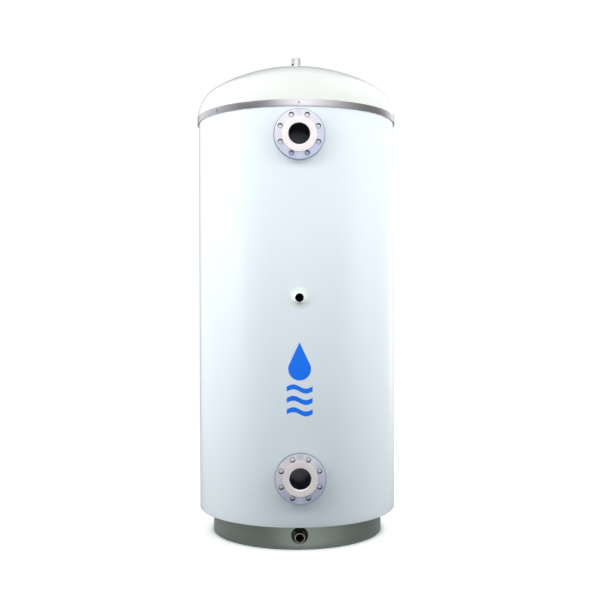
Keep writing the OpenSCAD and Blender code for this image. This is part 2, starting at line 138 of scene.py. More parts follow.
def cut(piece, cutters):
    """Takes the cutters out of the piece, and removes them."""
    for cutter in cutters:
        apply_modifier(piece, "BOOLEAN", operation="DIFFERENCE", solver="EXACT", object=cutter)
    pick_nothing()
    for cutter in cutters:
        cutter.select_set(True)
    bpy.ops.object.delete()
    return settle(piece)


def swing(piece, degrees, centre=(0, 0, 0), axis="Z"):
    """Turns a piece about a line through centre, right-handed."""
    about = Matrix.Rotation(math.radians(degrees), 4, axis)
    pick(piece)
    piece.matrix_world = (Matrix.Translation(centre) @ about
                          @ Matrix.Translation(-Vector(centre)) @ piece.matrix_world)
    bpy.ops.object.transform_apply(location=True, rotation=True, scale=True)
    return piece


def twin(piece, name):
    """A copy with its own mesh."""
    pick(piece)
    bpy.ops.object.duplicate(linked=False)
    other = bpy.context.active_object
    other.name = name
    return other


def join(pieces, name):
    pick(pieces[0])
    for piece in pieces[1:]:
        piece.select_set(True)
    bpy.ops.object.join()
    whole = bpy.context.active_object
    whole.name = name
    return whole


def arc(centre_r, centre_h, radius, start, end, parts):
    """Points (radius, height) on an arc from start to end, in degrees from the outward direction."""
    points = []
    for i in range(parts + 1):
        a = math.radians(start + (end - start) * i / parts)
        points.append((centre_r + radius * math.cos(a), centre_h + radius * math.sin(a)))
    return points


def dome(rim_r, rim_z, crown, knuckle, inner_r, parts=14):
    """A dished profile from the rim over knuckle and crown, inwards to radius inner_r."""
    drop = math.sqrt((crown - knuckle) ** 2 - (rim_r - knuckle) ** 2)
    meet = math.degrees(math.atan2(drop, rim_r - knuckle))
    stop = math.degrees(math.acos(inner_r / crown))
    return (arc(rim_r - knuckle, rim_z, knuckle, 0, meet, parts)
            + arc(0, rim_z - drop, crown, meet, stop, parts)[1:])


# ---------------------------------------------------------------- materials

def finish(name, colour, metallic, roughness):
    """A new material with its shader's plain values set on the shader itself."""
    material = bpy.data.materials.new(name)
    material.use_nodes = True
    shader = material.node_tree.nodes["Principled BSDF"]
    shader.inputs["Base Color"].default_value = (*colour, 1)
    shader.inputs["Metallic"].default_value = metallic
    shader.inputs["Roughness"].default_value = roughness
    return material, shader


def add(material, kind, **values):
    node = material.node_tree.nodes.new(kind)
    for key, value in values.items():
        if hasattr(node, key):
            setattr(node, key, value)
        else:
            node.inputs[key.replace("_", " ")].default_value = value
    return node


def wire(material, source, target):
    material.node_tree.links.new(source, target)


def grain(material, scale, stretch=(1, 1, 1), detail=3.0):
    """Noise over the piece in its own space; returns the noise node."""
    place = add(material, "ShaderNodeTexCoord")
    mapping = add(material, "ShaderNodeMapping")
    mapping.inputs["Scale"].default_value = stretch
    noise = add(material, "ShaderNodeTexNoise", Scale=scale, Detail=detail)
    wire(material, place.outputs["Object"], mapping.inputs["Vector"])
    wire(material, mapping.outputs["Vector"], noise.inputs["Vector"])
    return noise


def tint(material, factor, stops, target):
    """A colour ramp from a factor into a colour socket."""
    ramp = add(material, "ShaderNodeValToRGB")
    while len(ramp.color_ramp.elements) < len(stops):
        ramp.color_ramp.elements.new(0.5)
    for element, (at, colour) in zip(ramp.color_ramp.elements, stops):
        element.position = at
        element.color = (*colour, 1)
    wire(material, factor, ramp.inputs["Fac"])
    wire(material, ramp.outputs["Color"], target)
    return ramp


def spread(material, factor, low, high, target, from_low=0.3, from_high=0.7):
    """Maps a factor to a range of values on a number socket."""
    node = add(material, "ShaderNodeMapRange")
    node.inputs["From Min"].default_value = from_low
    node.inputs["From Max"].default_value = from_high
    node.inputs["To Min"].default_value = low
    node.inputs["To Max"].default_value = high
    wire(material, factor, node.inputs["Value"])
    wire(material, node.outputs["Result"], target)
    return node


def relief(material, height, strength, distance, target, under=None):
    """Bump from a height; under is another bump's normal below it."""
    bump = add(material, "ShaderNodeBump")
    bump.inputs["Strength"].default_value = strength
    bump.inputs["Distance"].default_value = distance
    wire(material, height, bump.inputs["Height"])
    if under is not None:
        wire(material, under, bump.inputs["Normal"])
    if target is not None:
        wire(material, bump.outputs["Normal"], target)
    return bump.outputs["Normal"]


def coated_white(name, colour, shade, rough=0.34, peel=900, gloss=0.0):
    """White coating or moulding: faint broad unevenness, fine peel, slightly uneven gloss."""
    material, shader = finish(name, colour, 0.0, rough)
    broad = grain(material, 2.2, detail=2.0)
    fine = grain(material, peel, detail=2.0)
    smear = grain(material, 7.0, stretch=(1, 1, 0.35), detail=2.0)
    tint(material, broad.outputs["Fac"], [(0.3, colour), (0.75, shade)], shader.inputs["Base Color"])
    spread(material, smear.outputs["Fac"], rough - 0.02, rough + 0.02, shader.inputs["Roughness"], 0.0, 1.0)
    shader.inputs["Coat Weight"].default_value = gloss
    shader.inputs["Coat Roughness"].default_value = 0.09
    low = relief(material, broad.outputs["Fac"], 0.03, 0.004, None)
    relief(material, fine.outputs["Fac"], 0.05, 0.0003, shader.inputs["Normal"], under=low)
    return material


def brushed(name, colour, dark, rough, stretch, scale=1.0, blotch=(9.0, (1, 1, 1)), lines=0.12):
    """Metal with hairlines along one direction and faint blotches from handling."""
    material, shader = finish(name, colour, 1.0, rough)
    hair = grain(material, scale, stretch=stretch, detail=4.0)
    patch = grain(material, blotch[0], stretch=blotch[1], detail=5.0)
    mix = add(material, "ShaderNodeMix", data_type="FLOAT")
    mix.inputs[0].default_value = 0.45
    wire(material, patch.outputs["Fac"], mix.inputs[2])
    wire(material, hair.outputs["Fac"], mix.inputs[3])
    tint(material, mix.outputs[0], [(0.3, dark), (0.68, colour)], shader.inputs["Base Color"])
    spread(material, patch.outputs["Fac"], rough - 0.06, rough + 0.09, shader.inputs["Roughness"])
    relief(material, hair.outputs["Fac"], lines, 0.0004, shader.inputs["Normal"])
    return material


def faced(name, stops, metallic, rough, centre, pitch, depth, drift):
    """Metal faced on a lathe: fine rings about a line along Y through centre.

    Its tint drifts across the piece in the drift direction, over the reach of that vector; on the ports this
    drift is painted shade.
    """
    material, shader = finish(name, stops[-1][1], metallic, rough)
    place = add(material, "ShaderNodeTexCoord")
    shift = add(material, "ShaderNodeMapping")
    shift.inputs["Location"].default_value = [-c for c in centre]
    wave = add(material, "ShaderNodeTexWave", wave_type="RINGS", rings_direction="Y")
    wave.inputs["Scale"].default_value = 1 / (20 * pitch) * 2 * math.pi
    wave.inputs["Distortion"].default_value = 0.6
    wave.inputs["Detail"].default_value = 1.0
    wire(material, place.outputs["Object"], shift.inputs["Vector"])
    wire(material, shift.outputs["Vector"], wave.inputs["Vector"])
    across = add(material, "ShaderNodeVectorMath", operation="DOT_PRODUCT")
    across.inputs[1].default_value = [d / Vector(drift).length_squared / 2 for d in drift]
    wire(material, shift.outputs["Vector"], across.inputs[0])
    patch = grain(material, 26.0, detail=4.0)
    cloud = add(material, "ShaderNodeMath", operation="MULTIPLY_ADD")
    cloud.inputs[1].default_value = 0.5
    wire(material, patch.outputs["Fac"], cloud.inputs[0])
    wire(material, across.outputs["Value"], cloud.inputs[2])
    lift = add(material, "ShaderNodeMath", operation="ADD")
    lift.inputs[1].default_value = 0.25
    wire(material, cloud.outputs["Value"], lift.inputs[0])
    tint(material, lift.outputs["Value"], stops, shader.inputs["Base Color"])
    spread(material, patch.outputs["Fac"], rough - 0.05, rough + 0.08, shader.inputs["Roughness"])
    relief(material, wave.outputs["Fac"], 0.35, depth, shader.inputs["Normal"])
    return material


def moulded(name, colour, shade, rough, scale=260.0):
    """Plain moulded rubber or plastic with a fine texture."""
    material, shader = finish(name, colour, 0.0, rough)
    fine = grain(material, scale, detail=3.0)
    broad = grain(material, 18.0, detail=3.0)
    tint(material, broad.outputs["Fac"], [(0.3, shade), (0.7, colour)], shader.inputs["Base Color"])
    relief(material, fine.outputs["Fac"], 0.12, 0.0004, shader.inputs["Normal"])
    return material


def cellular(name, colour, shade):
    """Rigid foam: open cut cells."""
    material, shader = finish(name, colour, 0.0, 0.9)
    place = add(material, "ShaderNodeTexCoord")
    cells = add(material, "ShaderNodeTexVoronoi", Scale=420.0)
    wire(material, place.outputs["Object"], cells.inputs["Vector"])
    broad = grain(material, 12.0, detail=4.0)
    tint(material, broad.outputs["Fac"], [(0.3, shade), (0.7, colour)], shader.inputs["Base Color"])
    relief(material, cells.outputs["Distance"], 0.5, 0.0012, shader.inputs["Normal"])
    return material


jacket_white = coated_white("jacket_white", (0.832, 0.876, 0.908), (0.818, 0.864, 0.897), rough=0.30,
                            gloss=0.6)
cover_white = coated_white("cover_white", (0.83, 0.82, 0.772), (0.815, 0.807, 0.757), rough=0.24, peel=500,
                           gloss=0.3)
band_steel = brushed("band_steel", (0.64, 0.625, 0.655), (0.60, 0.585, 0.62), 0.22, (3, 3, 900),
                     lines=0.06)
ring_steel = brushed("ring_steel", (0.355, 0.41, 0.37), (0.265, 0.31, 0.28), 0.44, (2.5, 2.5, 420),
                     blotch=(6.0, (1, 1, 1.6)), lines=0.1)
pipe_steel = brushed("pipe_steel", (0.30, 0.31, 0.32), (0.20, 0.21, 0.22), 0.38, (60, 60, 60), lines=0.08)
# painted shade: dark faces inside the ports' collars and pipes
bore_steel = brushed("bore_steel", (0.14, 0.155, 0.18), (0.08, 0.09, 0.105), 0.42, (60, 60, 60), lines=0.05)
vessel_steel = brushed("vessel_steel", (0.27, 0.29, 0.32), (0.18, 0.195, 0.215), 0.5, (3, 3, 300))
# painted shade: near-black steel for the skirt's inner faces and the wall of its opening
raw_steel = brushed("raw_steel", (0.035, 0.037, 0.034), (0.02, 0.021, 0.02), 0.55, (30, 30, 60), lines=0.08)
tray_steel = brushed("tray_steel", (0.16, 0.165, 0.165), (0.11, 0.115, 0.115), 0.48, (30, 30, 30), lines=0.05)
stub_steel = brushed("stub_steel", (0.98, 0.98, 0.96), (0.94, 0.95, 0.93), 0.55, (200, 200, 500), lines=0.03)
socket_steel = brushed("socket_steel", (0.34, 0.31, 0.26), (0.20, 0.17, 0.13), 0.36, (300, 300, 600))
# painted shade: near-black faces inside the sockets' threads and bores
thread_steel = brushed("thread_steel", (0.05, 0.045, 0.04), (0.03, 0.027, 0.024), 0.5, (300, 300, 600))
socket_brass = brushed("socket_brass", (0.52, 0.38, 0.20), (0.26, 0.17, 0.08), 0.42, (300, 500, 300))
screw_steel = brushed("screw_steel", (0.36, 0.35, 0.36), (0.2, 0.2, 0.21), 0.35, (200, 200, 200))
rivet_metal = brushed("rivet_metal", (0.72, 0.73, 0.74), (0.55, 0.56, 0.58), 0.4, (200, 200, 200))
plate_metal = brushed("plate_metal", (0.62, 0.63, 0.64), (0.5, 0.51, 0.53), 0.42, (4, 4, 800), lines=0.1)
trim_plastic = moulded("trim_plastic", (0.86, 0.90, 0.86), (0.83, 0.87, 0.83), 0.42)
seal_rubber = moulded("seal_rubber", (0.58, 0.58, 0.57), (0.50, 0.50, 0.50), 0.6)
foam = cellular("foam", (0.72, 0.64, 0.42), (0.62, 0.54, 0.34))
# painted shade: the foam pad under the tank, seen through the drain opening, is near black
base_foam = cellular("base_foam", (0.016, 0.016, 0.015), (0.011, 0.011, 0.01))
mark_film = moulded("mark_film", (0.0, 0.20, 1.0), (0.0, 0.185, 0.97), 0.5, scale=500.0)

# ---------------------------------------------------------------- measures

low_jacket, high_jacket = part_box("jacket")
JACKET_R = high_jacket.y
JACKET_FOOT = low_jacket.z
JACKET_TOP = high_jacket.z
JACKET_T = 1 * MM
low_band, high_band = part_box("cover_band")
BAND_R = high_band.x
BAND_FOOT = low_band.z
BAND_TOP = high_band.z
COVER_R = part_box("top_cover")[1].x
COVER_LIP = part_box("top_cover")[0].z
RING_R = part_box("base_ring")[1].x
RING_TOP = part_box("base_ring")[1].z
mounts = {m["name"]: m for m in frame["record"]["mounts"]}
UPPER = mounts["upper_port"]["pos_m"][2]
LOWER = mounts["lower_port"]["pos_m"][2]
SENSOR = mounts["sensor_port"]["pos_m"][2]
DRAIN = mounts["drain"]["pos_m"][2]
PORT_FACE = -mounts["upper_port_face"]["pos_m"][1]
FLANGE_FRONT = -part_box("upper_loose_flange")[0].y
FLANGE_BACK = -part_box("upper_loose_flange")[1].y
FLANGE_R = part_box("upper_loose_flange")[1].x
SEAL_HOLE_R = 51.95 * MM        # hole in the jacket for each port's seal
ROSETTE_HOLE_R = 24 * MM        # hole in the jacket for the rosette's sleeve
HOLE_STEPS = 48

# Ports, DN 80
PIPE_R = 44.45 * MM
PIPE_WALL = 3.2 * MM
PIPE_START = 353.2 * MM         # inner end of the port pipes, from the tank's axis
COLLAR_R = 69 * MM
COLLAR_L = 42 * MM
FLANGE_BORE_R = 46.05 * MM
BOLT_CIRCLE_R = 80 * MM
BOLT_HOLE_R = 9 * MM
BOLT_SEAT_R = 10.6 * MM
BOLT_HOLES = 8
PAD_R = 13.5 * MM               # round pads stamped at the top and bottom of each flange
PAD_RADIUS_OF = 83.5 * MM       # their distance from the flange's axis

# Sockets, G 1
SOCKET_R = 21 * MM
SOCKET_BORE_R = 14.25 * MM
THREAD_MINOR_R = 15.15 * MM
THREAD_PITCH = 2.309 * MM
THREAD_DEPTH = 1.15 * MM
THREAD_L = 22 * MM
PIPE_SEAT_R = 17.05 * MM        # where a socket's back fits over its pipe

tank, upper_body, lower_body = "tank", "upper_flange", "lower_flange"


def show(piece, material, body, slot, *nodes):
    """Gives a piece its finish, the body it moves with and the CAD nodes it stands for."""
    piece.data.materials.clear()
    piece.data.materials.append(material)
    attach(piece, body)
    if nodes:
        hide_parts(*nodes)
    return piece


def line(piece, material, chosen):
    """A second finish on the faces that chosen(middle, normal) picks."""
    piece.data.materials.append(material)
    index = len(piece.data.materials) - 1
    for face in piece.data.polygons:
        if chosen(face.center, face.normal):
            face.material_index = index


def off_axis(point, height):
    """Distance of a point from a port's axis."""
    return math.hypot(point.x, point.z - height)


# ---------------------------------------------------------------- jacket

def make_jacket():
    """The sheet cylinder with its inturned lower lip and the holes for ports and sensor."""
    heights = [JACKET_FOOT + 2.4 * MM, JACKET_FOOT + 30 * MM]
    for centre, half in ((LOWER, 62 * MM), (SENSOR, 34 * MM), (UPPER, 62 * MM)):
        heights += [centre - half, centre + half]
    heights += [JACKET_TOP]
    bend = arc(JACKET_R - 2.4 * MM, JACKET_FOOT + 2.4 * MM, 2.4 * MM, -90, 0, 5)
    outer = bend[:-1] + [(JACKET_R, h) for h in heights]
    inner = [(JACKET_R - JACKET_T, JACKET_TOP), (JACKET_R - JACKET_T, JACKET_FOOT + 3 * MM),
             (JACKET_R - 4 * MM, JACKET_FOOT + JACKET_T), (JACKET_R - 14 * MM, JACKET_FOOT + JACKET_T)]
    rings = [(JACKET_R - 14 * MM, JACKET_FOOT)] + outer + inner
    piece = turn("jacket_sheet", rings, steps=ROUND_STEPS)
    start = (0, -0.8 * JACKET_R, 0)
    cutters = []
    for height, radius in ((UPPER, SEAL_HOLE_R), (LOWER, SEAL_HOLE_R), (SENSOR, ROSETTE_HOLE_R)):
        cutters.append(rod("hole", radius, (0, start[1], height), 0.3 * JACKET_R,
                           steps=HOLE_STEPS))
    cut(piece, cutters)
    show(piece, jacket_white, tank, "jacket_white", "jacket")


make_jacket()


# ---------------------------------------------------------------- cover and band

def make_cover():
    """The domed cover, open at the top for the socket's grommet."""
    wall = 3 * MM
    crown, knuckle = 0.83 * 2 * COVER_R, 0.16 * 2 * COVER_R
    hole = 24 * MM
    outer = dome(COVER_R, BAND_TOP, crown, knuckle, hole)
    inner = dome(COVER_R - wall, BAND_TOP, crown - wall, knuckle - wall, hole)
    rings = [(COVER_R - 0.6 * MM, COVER_LIP), (COVER_R, COVER_LIP + 0.6 * MM)] + outer
    rings += inner[::-1] + [(COVER_R - wall, COVER_LIP)]
    piece = turn("domed_cover", rings, steps=ROUND_STEPS)
    show(piece, cover_white, tank, "cover_white", "top_cover")


make_cover()


def make_band():
    """A flat strip drawn round the lip; its ends meet at the back."""
    inner, height, gap = BAND_R - 1.2 * MM, BAND_TOP - BAND_FOOT, 4 * MM
    half_gap = math.asin(gap / 2 / BAND_R)
    middle = ((inner + BAND_R) / 2, 0, (BAND_FOOT + BAND_TOP) / 2)
    pick_nothing()
    bpy.ops.mesh.primitive_plane_add(size=1, location=middle, rotation=(math.radians(90), 0, 0))
    piece = bpy.context.active_object
    piece.name = "lip_band"
    piece.scale = (BAND_R - inner, height, 1)
    bpy.ops.object.transform_apply(location=True, rotation=True, scale=True)
    swing(piece, 90 + math.degrees(half_gap))
    edit(piece)
    bpy.ops.mesh.bevel(offset=0.35 * MM, segments=2, affect="VERTICES")
    bpy.ops.mesh.select_all(action="SELECT")
    bpy.ops.mesh.spin(steps=ROUND_STEPS, angle=2 * (math.pi - half_gap), center=(0, 0, 0), axis=(0, 0, 1))
    bpy.ops.object.mode_set(mode="OBJECT")
    settle(piece)
    show(piece, band_steel, tank, "band_stainless", "cover_band")


make_band()


def make_band_screws():
    """Pan-head screws with a crossed recess, modelled once and copied round the band."""
    height = (BAND_FOOT + BAND_TOP) / 2
    head = rod("band_screw", 3.6 * MM, (0, -BAND_R - 0.15 * MM, height), 2.2 * MM, steps=32)
    edit(head, "DESELECT")
    bpy.ops.object.mode_set(mode="OBJECT")
    for v in head.data.vertices:
        v.select = v.co.y < -BAND_R - 2 * MM
    for e in head.data.edges:
        e.select = all(head.data.vertices[i].select for i in e.vertices)
    bpy.ops.object.mode_set(mode="EDIT")
    bpy.ops.mesh.select_mode(type="EDGE")
    bpy.ops.mesh.bevel(offset=1.5 * MM, segments=4, affect="EDGES")
    bpy.ops.object.mode_set(mode="OBJECT")
    slots = []
    for size in ((3.8, 1.0), (1.0, 3.8)):
        pick_nothing()
        bpy.ops.mesh.primitive_cube_add(size=1, location=(0, -BAND_R - 2.35 * MM, height))
        slot = bpy.context.active_object
        slot.scale = (size[0] * MM, 2.4 * MM, size[1] * MM)
        bpy.ops.object.transform_apply(location=True, rotation=True, scale=True)
        slots.append(slot)
    cut(head, slots)
    shank = rod("shank", 2 * MM, (0, -JACKET_R + 6 * MM, height), BAND_R - JACKET_R + 6.3 * MM, steps=24)
    screw = join([head, shank], "band_screw")
    screws = [screw]
    for i in range(1, 6):
        screws.append(swing(twin(screw, "copy"), -50 * i))
    whole = settle(join(screws, "band_screws"), 35)
    show(whole, screw_steel, tank, "screw_steel", "cover_band_screws")


make_band_screws()


# ---------------------------------------------------------------- top connection

def thread(radius, start, end):
    """Rings of a thread's section, from start to end along the axis."""
    count = int(abs(end - start) / THREAD_PITCH)
    step = THREAD_PITCH if end > start else -THREAD_PITCH
    rings = []
    for i in range(count):
        at = start + i * step
        rings += [(radius, at), (radius, at + 0.3 * step), (radius + THREAD_DEPTH, at + 0.7 * step)]
    rings.append((radius, end))
    return rings


def socket_rings(back, face, seat_r, seat_end):
    """Section of a threaded socket whose back fits over a pipe."""
    edge, lead_in = 0.8 * MM, 1.6 * MM
    return ([(SOCKET_R, back), (SOCKET_R, face - edge), (SOCKET_R - edge, face),
             (THREAD_MINOR_R + lead_in, face), (THREAD_MINOR_R, face - lead_in)]
            + thread(THREAD_MINOR_R, face - 2 * MM, face - THREAD_L)
            + [(SOCKET_BORE_R, face - THREAD_L - 1 * MM), (SOCKET_BORE_R, seat_end), (seat_r, seat_end),
               (seat_r, back)])


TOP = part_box("top_socket")[1].z
COVER_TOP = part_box("top_cover")[1].z


def make_top_socket():
    """The threaded stub with its small side hole, and the grommet round it."""
    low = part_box("top_socket")[0].z
    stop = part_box("top_pipe")[1].z
    rings = socket_rings(low, TOP, PIPE_SEAT_R, stop + 0.2 * MM)
    piece = turn("top_socket_body", rings)
    vent = rod("hole", 4.5 * MM, (0, -5 * MM, TOP - 28.5 * MM), 30 * MM, steps=32)
    swing(vent, -43)
    cut(piece, [vent])
    show(piece, stub_steel, tank, "socket_metal", "top_socket")
    # painted shade inside the stub's thread and bore
    line(piece, thread_steel, lambda at, way: math.hypot(at.x, at.y) < 20.9 * MM and abs(way.z) < 0.9)
    lip = 29 * MM
    rings = [(21.3 * MM, COVER_TOP - 7 * MM), (23.7 * MM, COVER_TOP - 7 * MM),
             (23.7 * MM, COVER_TOP + 0.3 * MM), (lip, COVER_TOP + 0.3 * MM), (lip, COVER_TOP + 1.4 * MM)]
    rings += arc(lip - 1.4 * MM, COVER_TOP + 1.4 * MM, 1.4 * MM, 0, 90, 5)[1:]
    rings += [(21.9 * MM, COVER_TOP + 2.8 * MM), (21.3 * MM, COVER_TOP + 2.2 * MM)]
    grommet = turn("top_grommet_ring", rings)
    show(grommet, trim_plastic, tank, "trim_plastic", "top_grommet")


make_top_socket()


# ---------------------------------------------------------------- ports

# the later stops of these ramps are painted shade, laid towards the lower right by the drift in make_port
flange_stops = [(0.22, (0.76, 0.70, 0.77)), (0.42, (0.68, 0.645, 0.75)), (0.62, (0.59, 0.585, 0.72)),
                (0.82, (0.50, 0.52, 0.69))]
collar_stops = [(0.30, (0.92, 0.835, 0.815)), (0.70, (0.88, 0.79, 0.775))]
pad_stops = [(0.30, (0.68, 0.675, 0.73)), (0.70, (0.56, 0.58, 0.70))]
# Polished lip of the bore; a painted bluish reflection on the flange's rim; painted shade on the walls of its
# holes
lip_steel = brushed("lip_steel", (0.93, 0.95, 0.94), (0.86, 0.90, 0.90), 0.3, (200, 200, 200), lines=0.03)
edge_steel = brushed("edge_steel", (0.30, 0.43, 0.50), (0.20, 0.32, 0.40), 0.4, (200, 200, 200), lines=0.05)
hole_steel = brushed("hole_steel", (0.035, 0.045, 0.035), (0.02, 0.028, 0.02), 0.55, (200, 200, 200),
                     lines=0.05)
SHADE_SHIFT = Vector((1.3 * MM, 0, -1.3 * MM))      # the painted shade in the bore starts deeper at the lower right, leaving a wider painted lit crescent of the lip there


def make_port(label, height, body):
    """A welded pipe end with its turned collar, and the loose flange that turns behind the collar."""
    axis_at = (0, 0, height)
    drift = (0.035, 0, -0.095)      # painted shade: flange, pads and collar darken towards the lower right
    # collar
    face, back = PORT_FACE, PORT_FACE - COLLAR_L
    shoulder = PORT_FACE - 4 * MM
    edge, fillet = 0.8 * MM, 1.5 * MM
    rings = [(40 * MM, back), (PIPE_R - 1.2 * MM, back), (PIPE_R, back + 1.2 * MM),
             (PIPE_R, shoulder - fillet)]
    rings += arc(PIPE_R + fillet, shoulder - fillet, fillet, 180, 90, 4)[1:]
    rings += [(COLLAR_R - edge, shoulder), (COLLAR_R, shoulder + edge), (COLLAR_R, face - edge),
              (COLLAR_R - edge, face)]
    rings += arc(44 * MM, face - 4 * MM, 4 * MM, 90, 180, 8)
    collar = turn(label + "_collar_face", rings, centre=axis_at, axis=FRONT, steps=96)
    face_steel = faced(label + "_collar_steel", collar_stops, 0.35, 0.40, axis_at, 0.8 * MM, 0.0002, drift)
    show(collar, face_steel, tank, "collar_stainless", label + "_collar")
    line(collar, lip_steel, lambda at, way: off_axis(at, height) < 44 * MM)
    # painted shade inside the collar's bore
    line(collar, bore_steel, lambda at, way: off_axis(at + SHADE_SHIFT, height) < 42 * MM)
    # loose flange
    edge, bevel = 2.5 * MM, 3 * MM
    rings = [(FLANGE_BORE_R, FLANGE_BACK)]
    rings += arc(FLANGE_R - edge, FLANGE_BACK + edge, edge, -90, 0, 4)
    rings += arc(FLANGE_R - edge, FLANGE_FRONT - edge, edge, 0, 90, 5)
    rings += [(FLANGE_BORE_R + bevel, FLANGE_FRONT), (FLANGE_BORE_R, FLANGE_FRONT - bevel)]
    flange = turn(label + "_flange_disc", rings, centre=axis_at, axis=FRONT, steps=128)
    through = FLANGE_FRONT - FLANGE_BACK + 2 * MM
    turns = [math.radians(360 / BOLT_HOLES * (i + 0.5)) for i in range(BOLT_HOLES)]
    bolts = [(BOLT_CIRCLE_R * math.sin(a), height + BOLT_CIRCLE_R * math.cos(a)) for a in turns]
    pads = [height + side * PAD_RADIUS_OF for side in (-1, 1)]
    drills = [rod("drill", BOLT_HOLE_R, (x, 1 * MM - FLANGE_BACK, z), through, steps=40) for x, z in bolts]
    seats = [rod("seat", BOLT_SEAT_R, (x, 1.1 * MM - FLANGE_FRONT, z), 5 * MM, steps=40) for x, z in bolts]
    stamps = [rod("stamp", PAD_R, (0, 0.8 * MM - FLANGE_FRONT, z), 5 * MM, steps=48) for z in pads]
    cut(flange, [join(drills, "drills"), join(seats, "seats")] + stamps)
    zinc = faced(label + "_flange_zinc", flange_stops, 0.45, 0.38, axis_at, 1.1 * MM, 0.00012, drift)
    show(flange, zinc, body, "flange_galvanised", label + "_loose_flange")
    pad_zinc = faced(label + "_pad_zinc", pad_stops, 0.45, 0.45, axis_at, 3 * MM, 0.0001, drift)
    line(flange, pad_zinc, lambda at, way: way.y < -0.9 and at.y > 0.4 * MM - FLANGE_FRONT
         and min(math.hypot(at.x, at.z - z) for z in pads) < PAD_R + 0.1 * MM)
    # painted reflection: bluish faces round the flange's rim
    line(flange, edge_steel, lambda at, way: off_axis(at, height) > FLANGE_R - 2.2 * MM)
    # painted shade on the walls and seats of the bolt holes
    line(flange, hole_steel, lambda at, way: (abs(way.y) < 0.5 or 1 * MM < at.y + FLANGE_FRONT < 3 * MM)
         and min(math.hypot(at.x - x, at.z - z) for x, z in bolts) < BOLT_SEAT_R + 0.2 * MM)
    # pipe
    rings = [(PIPE_R - PIPE_WALL, PIPE_START), (PIPE_R, PIPE_START), (PIPE_R, back),
             (PIPE_R - PIPE_WALL, back)]
    pipe = turn(label + "_port_pipe", rings, centre=axis_at, axis=FRONT, steps=96)
    show(pipe, pipe_steel, tank, "pipe_stainless", label + "_nozzle_pipe")
    # painted shade inside the pipe
    line(pipe, bore_steel, lambda at, way: off_axis(at, height) < 43 * MM)


make_port("upper", UPPER, upper_body)
make_port("lower", LOWER, lower_body)


# ---------------------------------------------------------------- sensor port

def make_sensor_port():
    """A brass socket in a flared plastic rosette."""
    face = -mounts["sensor_port"]["pos_m"][1] + 11 * MM
    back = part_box("sensor_socket")[1].y
    rings = socket_rings(-back, face, SOCKET_BORE_R, -back + 1 * MM)
    piece = turn("sensor_socket_body", rings, centre=(0, 0, SENSOR), axis=FRONT)
    show(piece, socket_brass, tank, "socket_brass", "sensor_socket")
    # painted shade inside the socket's thread and bore
    line(piece, thread_steel, lambda at, way: off_axis(at, SENSOR) < 16.5 * MM)
    # rosette: sleeve, flared cover and lip, notched below the sensor
    low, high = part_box("sensor_rosette")
    tip, rim_r, bore = -low.y, high.x, 17 * MM
    foot, sleeve = JACKET_R + 2.6 * MM, ROSETTE_HOLE_R - 0.2 * MM
    flare = [(rim_r - 1 * MM, foot)]
    for i in range(1, 16):
        part = math.radians(90 * i / 16)
        flare.append((rim_r - 1 * MM - (rim_r - 21.2 * MM) * math.sin(part),
                      foot + (tip - foot) * (1 - math.cos(part))))
    rings = ([(bore, face + 1.5 * MM), (bore, JACKET_R - 4 * MM), (sleeve, JACKET_R - 4 * MM),
              (sleeve, JACKET_R - 1 * MM), (rim_r - 0.5 * MM, JACKET_R - 1.8 * MM), (rim_r, JACKET_R),
              (rim_r, JACKET_R + 1.6 * MM), (rim_r - 0.3 * MM, JACKET_R + 2.3 * MM)]
             + flare
             + [(20.2 * MM, tip - 0.8 * MM), (19.4 * MM, tip), (17.8 * MM, tip), (bore, tip - 0.8 * MM)])
    rosette = turn("sensor_rosette_cover", rings, centre=(0, 0, SENSOR), axis=FRONT, steps=96)
    notch = rod("notch", 3 * MM, (0, 3 * MM - JACKET_R, SENSOR - 18.5 * MM), 40 * MM, steps=24)
    cut(rosette, [notch])
    show(rosette, trim_plastic, tank, "trim_plastic", "sensor_rosette")


make_sensor_port()


# ---------------------------------------------------------------- base

def make_base():
    """The skirt ring with its inturned foot, and the drain socket in its opening."""
    wall, foot = 3 * MM, 22 * MM
    rings = [(RING_R - foot, 0), (RING_R - 1.2 * MM, 0), (RING_R - 0.35 * MM, 0.35 * MM),
             (RING_R, 1.2 * MM),
             (RING_R, 20 * MM), (RING_R, 95 * MM), (RING_R, RING_TOP), (RING_R - wall, RING_TOP),
             (RING_R - wall, wall), (RING_R - foot, wall)]
    piece = turn("base_skirt", rings, steps=ROUND_STEPS)
    opening = rod("hole", 34 * MM, (0, -0.8 * RING_R, DRAIN + 7 * MM), 0.3 * RING_R, steps=64)
    cut(piece, [opening])
    show(piece, ring_steel, tank, "base_stainless", "base_ring")
    # painted shade: the skirt's inner faces and the opening's wall are near black
    line(piece, raw_steel,
         lambda at, way: math.hypot(at.x, at.y) < RING_R - 0.5 * MM and at.z > 1 * MM)
    face = -mounts["drain"]["pos_m"][1] + 11 * MM
    back = -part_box("drain_socket")[1].y
    stop = -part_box("drain_pipe")[0].y
    rings = socket_rings(back, face, PIPE_SEAT_R, stop + 0.2 * MM)
    socket = turn("drain_socket_body", rings, centre=(0, 0, DRAIN), axis=FRONT)
    show(socket, socket_steel, tank, "socket_metal", "drain_socket")
    # painted shade inside the socket's thread and bore
    line(socket, thread_steel, lambda at, way: off_axis(at, DRAIN) < 17.2 * MM)


make_base()

# ---------------------------------------------------------------- CAD pieces kept as they are

